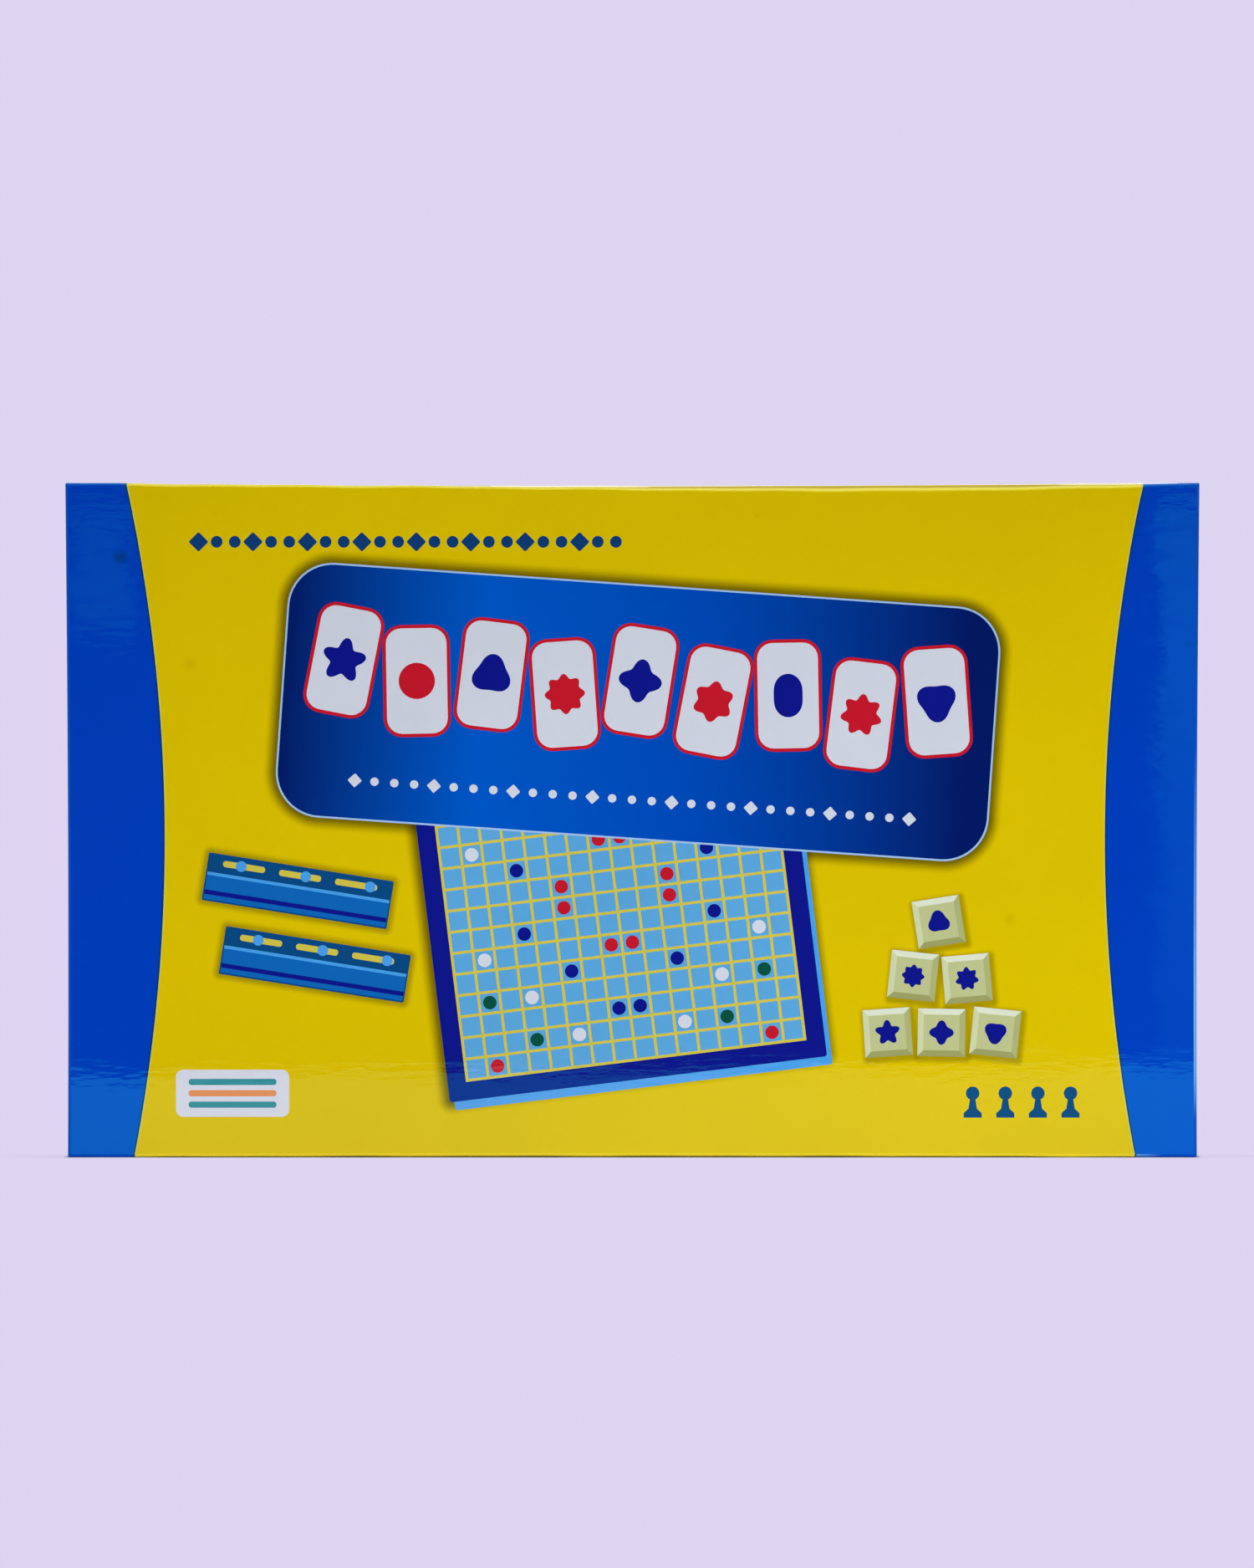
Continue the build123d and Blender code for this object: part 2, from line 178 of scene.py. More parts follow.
def laminate(name, colour, tint=WHITE, shade=(), along=None, spots=(),
             roughness=0.012, level=0.5):
    """Gloss-laminated print. shade lists soft printed shadows, along is a turned gradient,
    and spots are smudges."""
    s = Shader(name)
    mottle = s.noise(14, 3)
    if along:
        x, z, reach, degrees, stops = along
        across = s.node("SeparateXYZ", {"Vector": s.placed(x, z, degrees)}).outputs["X"]
        share = s.calc("MULTIPLY_ADD", across, 0.5 / (reach * MM), 0.5)
        wavering = s.calc("MULTIPLY_ADD", mottle, 0.04, share)
        base = s.ramp(wavering, *stops)
    else:
        base = s.ramp(mottle, (0.25, toned(colour, 0.965)), (0.75, toned(colour, 1.03)))
    for x, z, width, height, degrees, corner, blur, depth in shade:
        reach = s.away(x, z, width, height, degrees, corner)
        dark = s.span(reach, 0, blur * MM, depth, 0)
        base = s.mix(dark, base, toned(colour, 0.06))
    for x, z, radius, depth in spots:
        ragged = s.noise(700, 3)
        reach = s.calc("MULTIPLY_ADD", ragged, 0.0012, s.away(x, z, 0.4, 0.4, 0, 0.2))
        smudge = s.span(reach, 0.0004, radius * MM, depth, 0)
        base = s.mix(smudge, base, toned(colour, 0.25))
    grain = s.noise(2600, 1)
    fine = s.mix(s.span(grain, 0.55, 0.8, 0, 0.05), base, toned(colour, 0.6))
    scuffed = s.noise(260, 4, s.stretched((0.15, 1, 1)))
    rough = s.span(scuffed, 0.5, 0.8, roughness, roughness + 0.03)
    wave = s.bump(s.noise(26, 1), 2.0e-5)
    ripple = s.bump(s.noise(520, 2, s.stretched((0.24, 1, 1))), 3.4e-6, wave)
    peel = s.bump(s.noise(1600, 1, s.stretched((0.33, 1, 1))), 2.5e-7, ripple)
    return s.finish({
        "Base Color": fine, "Roughness": rough, "Normal": peel,
        "Specular Tint": tint, "Specular IOR Level": level, "IOR": 1.6,
    })


def greyboard_material():
    s = Shader("greyboard")
    fibre = s.noise(900, 6, s.stretched((0.35, 1, 1)))
    flecks = s.noise(2400, 2)
    base = s.ramp(fibre, (0.25, (0.24, 0.22, 0.19, 1)), (0.7, (0.42, 0.39, 0.34, 1)))
    speckled = s.mix(s.span(flecks, 0.62, 0.72, 0, 0.5), base, (0.12, 0.11, 0.10, 1))
    return s.finish({
        "Base Color": speckled, "Roughness": 0.92, "Specular IOR Level": 0.2,
        "Normal": s.bump(fibre, 1.2e-4),
    })


def moulded(name, colour, roughness, edge, grain=1400, drift=0.05, subsurface=0.0):
    """Moulded plastic with softened edges and a faint grain."""
    s = Shader(name)
    patches = s.noise(45, 3)
    base = s.ramp(patches, (0.3, toned(colour, 1 - drift)), (0.7, toned(colour, 1 + drift)))
    skin = s.noise(grain, 2)
    rough = s.span(s.noise(70, 2), 0.2, 0.8, roughness - 0.03, roughness + 0.04)
    return s.finish({
        "Base Color": base, "Roughness": rough, "Subsurface Weight": subsurface,
        "Subsurface Radius": (0.0012, 0.0010, 0.0007),
        "Normal": s.bump(skin, 6e-6, s.softened(edge)),
    })


def backing_material():
    """Uncoated paper with a fine tooth."""
    s = Shader("board_backing")
    colour = linear(10, 30, 104)
    tooth = s.noise(700, 4)
    base = s.ramp(tooth, (0.3, toned(colour, 0.88)), (0.7, toned(colour, 1.08)))
    return s.finish({
        "Base Color": base, "Roughness": 0.55, "Specular IOR Level": 0.3,
        "Normal": s.bump(tooth, 9e-5),
    })


def hinge_material():
    """Book cloth: two crossed sets of threads."""
    s = Shader("hinge_cloth")
    colour = linear(14, 26, 84)
    inputs = {"Vector": s.where, "Scale": 420.0, "Distortion": 0.6}
    threads = [s.node("TexWave", inputs, bands_direction=way) for way in ("X", "Z")]
    cloth = s.calc("MAXIMUM", *(thread.outputs["Fac"] for thread in threads))
    base = s.ramp(cloth, (0.2, toned(colour, 0.5)), (0.9, toned(colour, 1.4)))
    return s.finish({
        "Base Color": base, "Roughness": 0.8, "Sheen Weight": 0.2,
        "Normal": s.bump(cloth, 8e-5),
    })


def leaflet_material():
    """White paper with grey bars where lines of small print would be."""
    s = Shader("leaflet_paper")
    upright = s.node("Mapping", {
        "Vector": s.where, "Rotation": (math.radians(-90), 0, 0),
    }).outputs[0]
    bars = s.node("TexBrick", {
        "Vector": upright, "Scale": 1.0, "Brick Width": 0.017, "Row Height": 0.0042,
        "Mortar Size": 0.0013, "Mortar Smooth": 0.1, "Bias": 0.0,
        "Color1": (0.30, 0.31, 0.34, 1), "Color2": (0.46, 0.47, 0.50, 1),
        "Mortar": (0.86, 0.85, 0.81, 1),
    }, offset=0.37, squash=0.7, squash_frequency=3).outputs["Color"]
    margin = s.away(0, 78.5, 182, 122, 0, 1)
    tooth = s.noise(900, 4)
    paper = s.ramp(tooth, (0.3, (0.82, 0.81, 0.77, 1)), (0.7, (0.88, 0.87, 0.83, 1)))
    base = s.mix(s.span(margin, 0, 2e-4), bars, paper)
    return s.finish({"Base Color": base, "Roughness": 0.75, "Normal": s.bump(tooth, 3e-5)})


# Flat drawing

def turned(points, x, z, degrees=0.0):
    c, s = math.cos(math.radians(degrees)), math.sin(math.radians(degrees))
    return [(x + px * c - pz * s, z + px * s + pz * c) for px, pz in points]


def rounded(width, height, radius=0.0, arc=6, run=None):
    """A rectangle about the origin, counter-clockwise. run cuts its sides into steps."""
    points = []
    for quarter, (sx, sz) in enumerate(((1, 1), (-1, 1), (-1, -1), (1, -1))):
        for k in range(arc + 1 if radius else 1):
            angle = math.radians(90 * (quarter + k / arc))
            x = sx * (width / 2 - radius) + radius * math.cos(angle)
            z = sz * (height / 2 - radius) + radius * math.sin(angle)
            points.append((x, z))
    return stepped(points, run) if run else points


def stepped(points, run):
    cut = []
    for (x0, z0), (x1, z1) in zip(points, points[1:] + points[:1]):
        parts = max(1, round(math.hypot(x1 - x0, z1 - z0) / run))
        cut += [(x0 + (x1 - x0) * k / parts, z0 + (z1 - z0) * k / parts) for k in range(parts)]
    return cut


def disc(radius, count=28):
    angles = [math.tau * k / count for k in range(count)]
    return [(radius * math.cos(t), radius * math.sin(t)) for t in angles]


def lobed(radius, lobes, depth, count=60):
    """A soft figure whose edge swells in and out: a disc, petals or a blunt star."""
    figure = []
    for k in range(count):
        turn = math.tau * k / count
        reach = radius * (1 + depth * math.cos(lobes * turn))
        figure.append((-reach * math.sin(turn), reach * math.cos(turn)))
    return figure


class Print:
    """The regions of a printed face, as the ink's number and the outline."""

    def __init__(self, inks):
        self.inks = list(inks)
        self.regions = []

    def draw(self, ink, points, x=0.0, z=0.0, degrees=0.0):
        self.regions.append((self.inks.index(ink), turned(points, x, z, degrees)))


def printed(outline, regions):
    """Cuts a flat outline along every region. Later regions lie on top of earlier ones.

    Returns the points, the triangles with their inks, and the rim with its inks."""
    points, loops = [], []
    for loop in [outline] + [region for _, region in regions]:
        loops.append(list(range(len(points), len(points) + len(loop))))
        points += [Vector(p) for p in loop]
    inks = [0] + [ink for ink, _ in regions]
    inside_only, merge = 1, 1e-4
    cut = delaunay_2d_cdt(points, [], loops, inside_only, merge, True)
    places, _, cells, _, _, sources = cut
    triangles, picks, edges = [], [], {}
    for face, source in zip(cells, sources):
        if 0 not in source:
            continue
        a, b, c = (places[v] for v in face)
        face = list(face) if (b - a).cross(c - a) > 0 else list(face)[::-1]
        ink = inks[max(source)]
        triangles.append(face)
        picks.append(ink)
        for edge in zip(face, face[1:] + face[:1]):
            edges[edge] = ink
    after = {a: (b, ink) for (a, b), ink in edges.items() if (b, a) not in edges}
    rim = [next(iter(after))]
    while after[rim[-1]][0] != rim[0]:
        rim.append(after[rim[-1]][0])
    rim_inks = [after[v][1] for v in rim]
    used = sorted({v for face in triangles for v in face})
    number = {v: k for k, v in enumerate(used)}
    triangles = [[number[v] for v in face] for face in triangles]
    flat = [tuple(places[v]) for v in used]
    return flat, triangles, picks, [number[v] for v in rim], rim_inks


# Meshes

def corners(node):
    """Lowest and highest corner of a CAD node, in millimetres."""
    low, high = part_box(node)
    return low / MM, high / MM


def mesh_piece(name, points, faces, materials, picks=None, smooth=None):
    mesh = bpy.data.meshes.new(name)
    mesh.from_pydata([tuple(c * MM for c in p) for p in points], [], faces)
    for material in materials:
        mesh.materials.append(material)
    if picks:
        mesh.polygons.foreach_set("material_index", picks)
    if smooth:
        mesh.polygons.foreach_set("use_smooth", smooth)
    piece = bpy.data.objects.new(name, mesh)
    bpy.context.scene.collection.objects.link(piece)
    return piece


def settle(piece, body, slot, *replaced):
    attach(piece, body)
    if replaced:
        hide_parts(*replaced)


class Box:
    """One half of the set-up box: where its face, rim and outline lie."""

    def __init__(self, low, high, face_y, rim_y, bow):
        self.x, self.z = (low[0] + high[0]) / 2, (low[1] + high[1]) / 2
        self.width, self.height = high[0] - low[0], high[1] - low[1]
        self.face_y, self.bow = face_y, bow
        self.into = 1 if rim_y > face_y else -1
        self.depth = abs(rim_y - face_y)

    def outline(self):
        inset, arc, run = 2 * FOLD, 3, 5.0
        flat = rounded(self.width - inset, self.height - inset, CORNER, arc, run)
        return turned(flat, self.x, self.z)

    def outward(self, x, z):
        """Which way a point of the outline moves to widen it: both ways at a corner."""
        inset = FOLD + CORNER + 1e-3
        steps = (x - self.x, self.width / 2), (z - self.z, self.height / 2)
        way = Vector((0, 0))
        for k, (step, half) in enumerate(steps):
            if abs(step) > half - inset:
                way[k] = math.copysign(1, step)
        return way

    def place(self, x, z, depth):
        x, z = self.bow(x, z, depth)
        return x, self.face_y + self.into * depth, z

    def rings(self, flat, rim, rim_inks, profile, points, faces, picks, before=None):
        """Adds a band of faces for each step of the profile: (offset outwards, depth)."""
        outs = [self.outward(*flat[v]) for v in rim]
        before = before or rim
        for offset, depth in profile:
            ring = []
            for v, out in zip(rim, outs):
                x, z = flat[v]
                ring.append(len(points))
                points.append(self.place(x + out.x * offset, z + out.y * offset, depth))
            for k, ink in enumerate(rim_inks):
                n = (k + 1) % len(rim)
                faces.append([before[k], ring[k], ring[n], before[n]])
                picks.append(ink)
            before = ring
        return before

    def facing(self, faces):
        return faces if self.into > 0 else [face[::-1] for face in faces]


def fold_profile(radius, start, steps=6):
    """A quarter round from the face to the walls, as (offset outwards, depth)."""
    angles = [math.radians(90 * k / steps) for k in range(1, steps + 1)]
    return [(radius * math.sin(t), start + radius * (1 - math.cos(t))) for t in angles]


def wall_depths(box):
    """Where the walls are cut across: close together behind the face, where they bend."""
    near = [BEND * k / 4 for k in (2, 3, 4)] + [4.5, END_BEND]
    return near + [box.depth * k / 4 for k in (1, 2, 3)]


def wrap_piece(name, box, regions, inks, fold_inks=None):
    """The printed paper as a closed thin sheet: face, folds, walls, round the rim and in.

    fold_inks gives the ink that a fold shows in place of another: a worn, paler ink, which on the
    blue also carries a painted highlight."""
    flat, faces, picks, rim, rim_inks = printed(box.outline(), regions)
    points = [box.place(x, z, 0) for x, z in flat]
    smooth = [False] * len(faces)
    worn_and_highlit = [(fold_inks or {}).get(ink, ink) for ink in rim_inks]
    folded = box.rings(flat, rim, worn_and_highlit, fold_profile(FOLD, 0), points, faces, picks)
    outer, inner, end = FOLD, FOLD - WALL - PAPER, box.depth
    profile = [(outer, depth) for depth in wall_depths(box)]
    profile += [(outer, end - RIM_ROUND), (outer - RIM_CUT, end - RIM_CUT)]
    profile += [(outer - RIM_ROUND, end), (inner + RIM_ROUND, end)]
    profile += [(inner + RIM_CUT, end - RIM_CUT), (inner, end - RIM_ROUND)]
    profile += [(inner, end - TURN_IN)]
    box.rings(flat, rim, rim_inks, profile, points, faces, picks, folded)
    smooth += [True] * (len(faces) - len(smooth))
    piece = mesh_piece(name, points, box.facing(faces), inks, picks, smooth)
    paper = piece.modifiers.new("paper", "SOLIDIFY")
    paper.thickness = PAPER * MM
    paper.offset = -1
    return piece


def board_piece(name, box, material):
    """The greyboard under the wrap, as one closed shell a hair inside the paper."""
    gap = PAPER + HAIR
    outer, inner, end = FOLD - gap, FOLD - WALL + HAIR, box.depth - gap
    flat = box.outline()
    rim = list(range(len(flat)))
    points = [box.place(x, z, gap) for x, z in flat]
    faces = [rim[:]]
    depths = wall_depths(box)
    profile = fold_profile(outer, gap)
    profile += [(outer, depth) for depth in depths + [end]]
    profile += [(inner, depth) for depth in [end] + depths[::-1] if depth > WALL]
    profile += [(inner, WALL)]
    faces.append(box.rings(flat, rim, [0] * len(rim), profile, points, faces, []))
    return mesh_piece(name, points, box.facing(faces), [material])


def sheet_piece(name, outline, front_y, back_y, regions, inks):
    """A flat printed sheet from its printed side to its back, as a closed slab."""
    flat, faces, picks, rim, rim_inks = printed(outline, regions)
    points = [(x, front_y, z) for x, z in flat]
    under = []
    for v in rim:
        under.append(len(points))
        points.append((flat[v][0], back_y, flat[v][1]))
    for k, ink in enumerate(rim_inks):
        n = (k + 1) % len(rim)
        faces.append([rim[k], under[k], under[n], rim[n]])
        picks.append(ink)
    faces.append(under[::-1])
    picks.append(0)
    if front_y > back_y:
        faces = [face[::-1] for face in faces]
    return mesh_piece(name, points, faces, inks, picks)


def glyph(text, height, thick=0.06):
    """Points and faces of a raised character, about the origin in X and Y."""
    curve = bpy.data.curves.new("glyph", "FONT")
    curve.body = text
    curve.size = height
    curve.extrude = thick / 2
    curve.align_x, curve.align_y = "CENTER", "CENTER"
    curve.resolution_u = 4
    holder = bpy.data.objects.new("glyph", curve)
    bpy.context.scene.collection.objects.link(holder)
    ready = holder.evaluated_get(bpy.context.evaluated_depsgraph_get())
    mesh = bpy.data.meshes.new_from_object(ready)
    shape = [v.co.copy() for v in mesh.vertices], [list(p.vertices) for p in mesh.polygons]
    bpy.data.objects.remove(holder)
    bpy.data.curves.remove(curve)
    bpy.data.meshes.remove(mesh)
    return shape


def stamp(points, faces, shape, matrix):
    start = len(points)
    points += [tuple(matrix @ co) for co in shape[0]]
    faces += [[start + v for v in face] for face in shape[1]]


# The lid's print

INKS = (
    "yellow blue pale dusk plaque edging white red navy lines cell rim_blue green text label"
    " teal orange cream cream_top cream_left cream_bottom cream_right bar bar_top"
    " yellow_fold blue_fold"
).split()
LID_COLOURS = {
    "pale": (186, 184, 92), "dusk": (16, 46, 80), "edging": (150, 178, 216),
    "white": (198, 198, 212), "red": (186, 22, 40), "navy": (14, 20, 128),
    "lines": (196, 178, 66), "cell": (84, 152, 204), "rim_blue": (66, 146, 216),
    "green": (10, 74, 56), "text": (14, 56, 110), "label": (202, 200, 214),
    "teal": (20, 130, 140), "orange": (214, 130, 70), "cream": (178, 179, 130),
    "cream_top": (208, 209, 190), "cream_left": (194, 195, 158),
    "cream_bottom": (146, 146, 92), "cream_right": (162, 163, 110),
    "bar": (14, 92, 170), "bar_top": (10, 66, 120),
}
YELLOW_SHINE, BLUE_SHINE = (0.35, 0.6, 0.15, 1), (0.05, 0.95, 1.0, 1)  # tints of the gloss
BLUE_SHINING = ("navy", "bar", "bar_top", "dusk", "text")
# Smudges: x, z, radius and depth
YELLOW_SMUDGES = ((-156, 174, 4.0, 0.16), (133, 84, 3.6, 0.14), (44, 226, 1.6, 0.1))
BLUE_SMUDGES = ((-180.5, 211.5, 4.2, 0.7), (196, 181, 2.0, 0.3))
# Places on the face: x, z, width, height and turn
PLAQUE_AT = (2.0, 157.0, 252.0, 90.0, -4.0)
PLATE_AT = (-6.0, 94.0, 134.0, 134.0, 7.0)
BARS_AT = ((-118.0, 94.0, 66.0, 17.0, -9.0), (-112.0, 68.0, 66.0, 17.0, -9.0))
PLAQUE_CORNER, PLATE_CORNER, BAR_CORNER = 16.0, 1.0, 0.6
# Drawn tiles: x, z and turn, and the half sides of a tile and of its flat top
TILES_AT = [(90 + 19 * k, 44, 4 - 5 * k) for k in range(3)]
TILES_AT += [(99, 64, -6), (118, 63, 5), (108, 83, 9)]
TILE_HALF, TILE_TOP = 8.4, 6.3
# Emblems: the number of lobes and their depth
FIGURES = (
    (5, 0.24), (0, 0.0), (3, 0.15), (8, 0.12), (4, 0.2), (6, 0.14), (2, 0.2), (7, 0.16),
    (3, -0.15),
)
BOARD_SQUARES = 16
SQUARE, SQUARE_LINE = 7.5, 1.0  # pitch of the drawn board's squares, and the line between
MARK_RADIUS = 2.4
PLATE_EDGE = (1.6, -3.0)  # how far the drawn board's edge shows beside it
PANEL_MIDDLES = (-1, 164.9), (1, 166.6)  # side, and where its panel starts at the waist
PANEL_WAIST = 112.0  # height at which the side panels reach furthest in
PANEL_SPAN, PANEL_BULGE = 120.0, 12.36  # that far from the waist, how far they draw back
PANEL_LINES = ("pale", -0.45), ("dusk", 0.0), ("blue", 0.5)  # two thin lines edge the blue
PANEL_STEPS = 40
OVER = 1.0  # how far a panel runs past the edge of the face
DOTS_AT, DOTS, DOTS_PITCH = (-153, 217), 24, 6.4  # the row above the plaque
LABEL_AT = (-141.0, 22.6)
PAWNS_FROM, PAWN_STEP, PAWN_FOOT, PAWN_HEAD = 120, 11.5, 14.0, 22.6


def board_mark(column, row):
    """Ink of the mark on a square: diamonds about the middle, of every second square."""
    centre = (BOARD_SQUARES - 1) / 2
    across, along = (int(abs(place - centre)) for place in (column, row))
    if across % 2:
        return None
    return {2: "red", 5: "navy", 8: "white", 10: "green", 13: "red"}.get(across + along)


def row_mark(k, every, radius, count, diamond, corner):
    """A mark of a row: a dot, and at every few places a diamond."""
    if k % every:
        return disc(radius, count)
    return turned(rounded(diamond, diamond, corner), 0, 0, 45)


def draw_panels(page):
    for side, middle in PANEL_MIDDLES:
        for ink, shift in PANEL_LINES:
            curve = []
            for k in range(PANEL_STEPS + 1):
                z = -OVER + (LID_HEIGHT + 2 * OVER) * k / PANEL_STEPS
                bulge = PANEL_BULGE * ((z - PANEL_WAIST) / PANEL_SPAN) ** 2
                curve.append((side * (middle + shift + bulge), z))
            end = side * (LID_HALF + OVER)
            edge = [(end, LID_HEIGHT + OVER), (end, -OVER)]
            page.draw(ink, curve + edge if side < 0 else curve[::-1] + edge[::-1])


def draw_plate(page):
    """The drawn board, without the rows that the plaque covers."""
    x, z, width, height, degrees = PLATE_AT
    place = x, z, degrees
    plate = rounded(width, height, PLATE_CORNER)
    page.draw("rim_blue", turned(plate, *PLATE_EDGE), *place)
    page.draw("navy", plate, *place)
    whole, cell = BOARD_SQUARES * SQUARE + SQUARE_LINE, SQUARE - SQUARE_LINE
    page.draw("lines", rounded(whole, whole), *place)
    for row in range(BOARD_SQUARES - 2):
        for column in range(BOARD_SQUARES):
            cx, cz = ((k - (BOARD_SQUARES - 1) / 2) * SQUARE for k in (column, row))
            page.draw("cell", turned(rounded(cell, cell), cx, cz), *place)
            mark = board_mark(column, row)
            if mark:
                page.draw(mark, turned(disc(MARK_RADIUS), cx, cz), *place)


def draw_plaque(page):
    """A plaque with a row of tilted cards and a row of small marks."""
    x, z, width, height, degrees = PLAQUE_AT
    place = x, z, degrees
    rim, arc = 1.3, 12
    page.draw("edging", rounded(width, height, PLAQUE_CORNER, arc), *place)
    page.draw("plaque", rounded(width - rim, height - rim, 15.4, arc), *place)
    pitch, row_z, emblem_radius = 26.2, 8.0, 6.4
    lifts, tilts = (3.0, -2.5, 1.5, -3.5), (-7, 5, -3, 8, -5)
    edged, inner = rounded(23.8, 39.6, 6.6), rounded(21.4, 37.2, 5.4)
    for k, figure in enumerate(FIGURES):
        own = (k - 4) * pitch, row_z + lifts[k % 4], tilts[k % 5]
        page.draw("red", turned(edged, *own), *place)
        page.draw("white", turned(inner, *own), *place)
        emblem = lobed(emblem_radius, *figure)
        page.draw("red" if k % 2 else "navy", turned(emblem, *own), *place)
    marks, pitch, row_z = 29, 7.0, -31.0
    for k in range(marks):
        mark = row_mark(k, 4, 1.5, 16, 3.6, 0.4)
        page.draw("white", turned(mark, (k - marks // 2) * pitch, row_z), *place)


def draw_bar(page, x, z, width, height, degrees):
    """A dark bar with three slots, and a round button in each."""
    place = x, z, degrees
    inner, slots_z = width - 1.0, 5.3
    page.draw("bar_top", rounded(width, height, BAR_CORNER), *place)
    page.draw("bar", turned(rounded(inner, height - 7.6, 0.4), 0, -3.2), *place)
    page.draw("rim_blue", turned(rounded(inner, 1.1), 0, 1.2), *place)
    page.draw("navy", turned(rounded(inner, 1.6), 0, -5.4), *place)
    for k in (-1, 0, 1):
        page.draw("lines", turned(rounded(15.0, 2.2, 1.0), 20 * k, slots_z), *place)
        page.draw("rim_blue", turned(disc(1.9, 20), 23 * k + 2, slots_z), *place)


def draw_tile(page, number, *place):
    """A tile with four sloped sides and an emblem on its flat top."""
    slope = [(-TILE_HALF, TILE_HALF), (-TILE_TOP, TILE_TOP)]
    slope += [(TILE_TOP, TILE_TOP), (TILE_HALF, TILE_HALF)]
    for k, side in enumerate(("top", "left", "bottom", "right")):
        page.draw(f"cream_{side}", turned(slope, 0, 0, 90 * k), *place)
    page.draw("cream", rounded(2 * TILE_TOP, 2 * TILE_TOP), *place)
    page.draw("navy", lobed(3.6, *FIGURES[4 * number % len(FIGURES)]), *place)


def draw_label(page):
    x, z = LABEL_AT
    page.draw("label", rounded(40.0, 16.6, 2.6), x, z)
    for ink, lift in (("teal", 4.0), ("orange", 0.0), ("teal", -4.0)):
        page.draw(ink, rounded(31.0, 2.2, 1.0), x, z + lift)


def draw_pawns(page):
    body = [(-3.2, 0), (3.2, 0), (3.2, 1.6), (1.5, 3.2), (0.9, 7.0)]
    body += [(-0.9, 7.0), (-1.5, 3.2), (-3.2, 1.6)]
    for k in range(4):
        x = PAWNS_FROM + PAWN_STEP * k
        page.draw("text", body, x, PAWN_FOOT)
        page.draw("text", disc(2.4, 22), x, PAWN_HEAD)


def lid_regions():
    page = Print(INKS)
    draw_panels(page)
    x, z = DOTS_AT
    for k in range(DOTS):
        page.draw("text", row_mark(k, 3, 2.1, 20, 5.0, 0.6), x + DOTS_PITCH * k, z)
    draw_plate(page)
    draw_plaque(page)
    for place in BARS_AT:
        draw_bar(page, *place)
    for number, place in enumerate(TILES_AT):
        draw_tile(page, number, *place)
    draw_label(page)
    draw_pawns(page)
    return page.regions


def lid_inks():
    # Printed shadows: a place, its corner radius, and the blur and depth of the shadow
    shadows = [(*PLAQUE_AT, PLAQUE_CORNER, 5.0, 0.8), (*PLATE_AT, PLATE_CORNER, 5.0, 0.8)]
    shadows += [(*bar, BAR_CORNER, 3.0, 0.5) for bar in BARS_AT]
    side = 2 * TILE_HALF
    for x, z, degrees in TILES_AT:
        shadows.append((x + 0.6, z - 0.8, side, side, degrees, 0.2, 2.4, 0.45))
    deep, bright = linear(4, 22, 92), linear(0, 80, 186)
    sweep = ((0.02, deep), (0.3, bright), (0.62, linear(0, 66, 170)), (0.98, deep))
    plaque_sweep = (*PLAQUE_AT[:2], PLAQUE_AT[2] / 2, PLAQUE_AT[4], sweep)
    # The blue fold's own ink is a little paler than the face, as worn; a band down the lower
    # right end is paler still, a painted highlight.
    folded, highlight_blue = linear(2, 66, 180), linear(96, 156, 216)
    highlight_stops = ((0.79, folded), (0.92, highlight_blue), (0.975, highlight_blue), (1.0, folded))
    highlight_band = (0, LID_HEIGHT / 2, 225, -45, highlight_stops)  # painted highlight: the fold down the lower right end is drawn paler
    fold_gloss = 0.06
    special = {
        "yellow": laminate(
            "lid_yellow", linear(208, 177, 2), YELLOW_SHINE, shadows,
            spots=YELLOW_SMUDGES, level=1.0),
        "blue": laminate(
            "lid_blue", linear(1, 58, 180), BLUE_SHINE, spots=BLUE_SMUDGES, level=1.0),
        "yellow_fold": laminate(
            "lid_yellow_fold", linear(222, 198, 20), (0.7, 0.9, 0.3, 1),
            roughness=fold_gloss, level=0.8),
        # the blue fold: worn ink, with a painted highlight along the lower right end
        "blue_fold": laminate(
            "lid_blue_fold", folded, BLUE_SHINE, along=highlight_band,
            roughness=fold_gloss, level=0.25),
        "plaque": laminate("lid_plaque", bright, BLUE_SHINE, along=plaque_sweep),
    }
    inks = []
    for ink in INKS:
        tint = BLUE_SHINE if ink in BLUE_SHINING else WHITE
        inks.append(special.get(ink) or laminate(f"lid_{ink}", linear(*LID_COLOURS[ink]), tint))
    return inks


# The two halves of the box

TOP_ZONE, FOOT_ZONE, END_ZONE = 16.0, 14.0, 14.0  # how far in from each edge the lid bends


def lid_bow(x, z, depth):
    """How a card lid bends, in millimetres: its long edges bow and waver, its ends draw
    in, most of all at the face."""
    middle = 1 - (x / LID_HALF) ** 2
    waver = 0.15 + 0.075 * (math.sin(x / 9.0) + math.sin(x / 5.3 + 1.0))
    front = max(0.0, 1 - depth / BEND)
    near_top = (max(0.0, z - (LID_HEIGHT - TOP_ZONE)) / TOP_ZONE) ** 2
    near_foot = (max(0.0, FOOT_ZONE - z) / FOOT_ZONE) ** 2
    near_end = (max(0.0, abs(x) - (LID_HALF - END_ZONE)) / END_ZONE) ** 2
    bent = max(0.0, 0.8 + 0.011 * x) * front
    sag = near_top * (middle * (1.2 + bent) + waver * (0.3 + front))
    lift = near_foot * (middle * (0.1 + 0.4 * front) + 0.6 * waver)
    curve = math.sin(math.radians(120 * (1 - z / LID_HEIGHT)))
    drawn = near_end * curve * (0.75 + 0.5 * max(0.0, 1 - depth / END_BEND) ** 2)
    return x - math.copysign(drawn, x), z - sag + lift


def straight(x, z, depth):
    return x, z


greyboard = greyboard_material()

low, high = corners("lid_wrap")
lid = Box((low.x, low.z), (high.x, high.z), low.y, high.y, lid_bow)
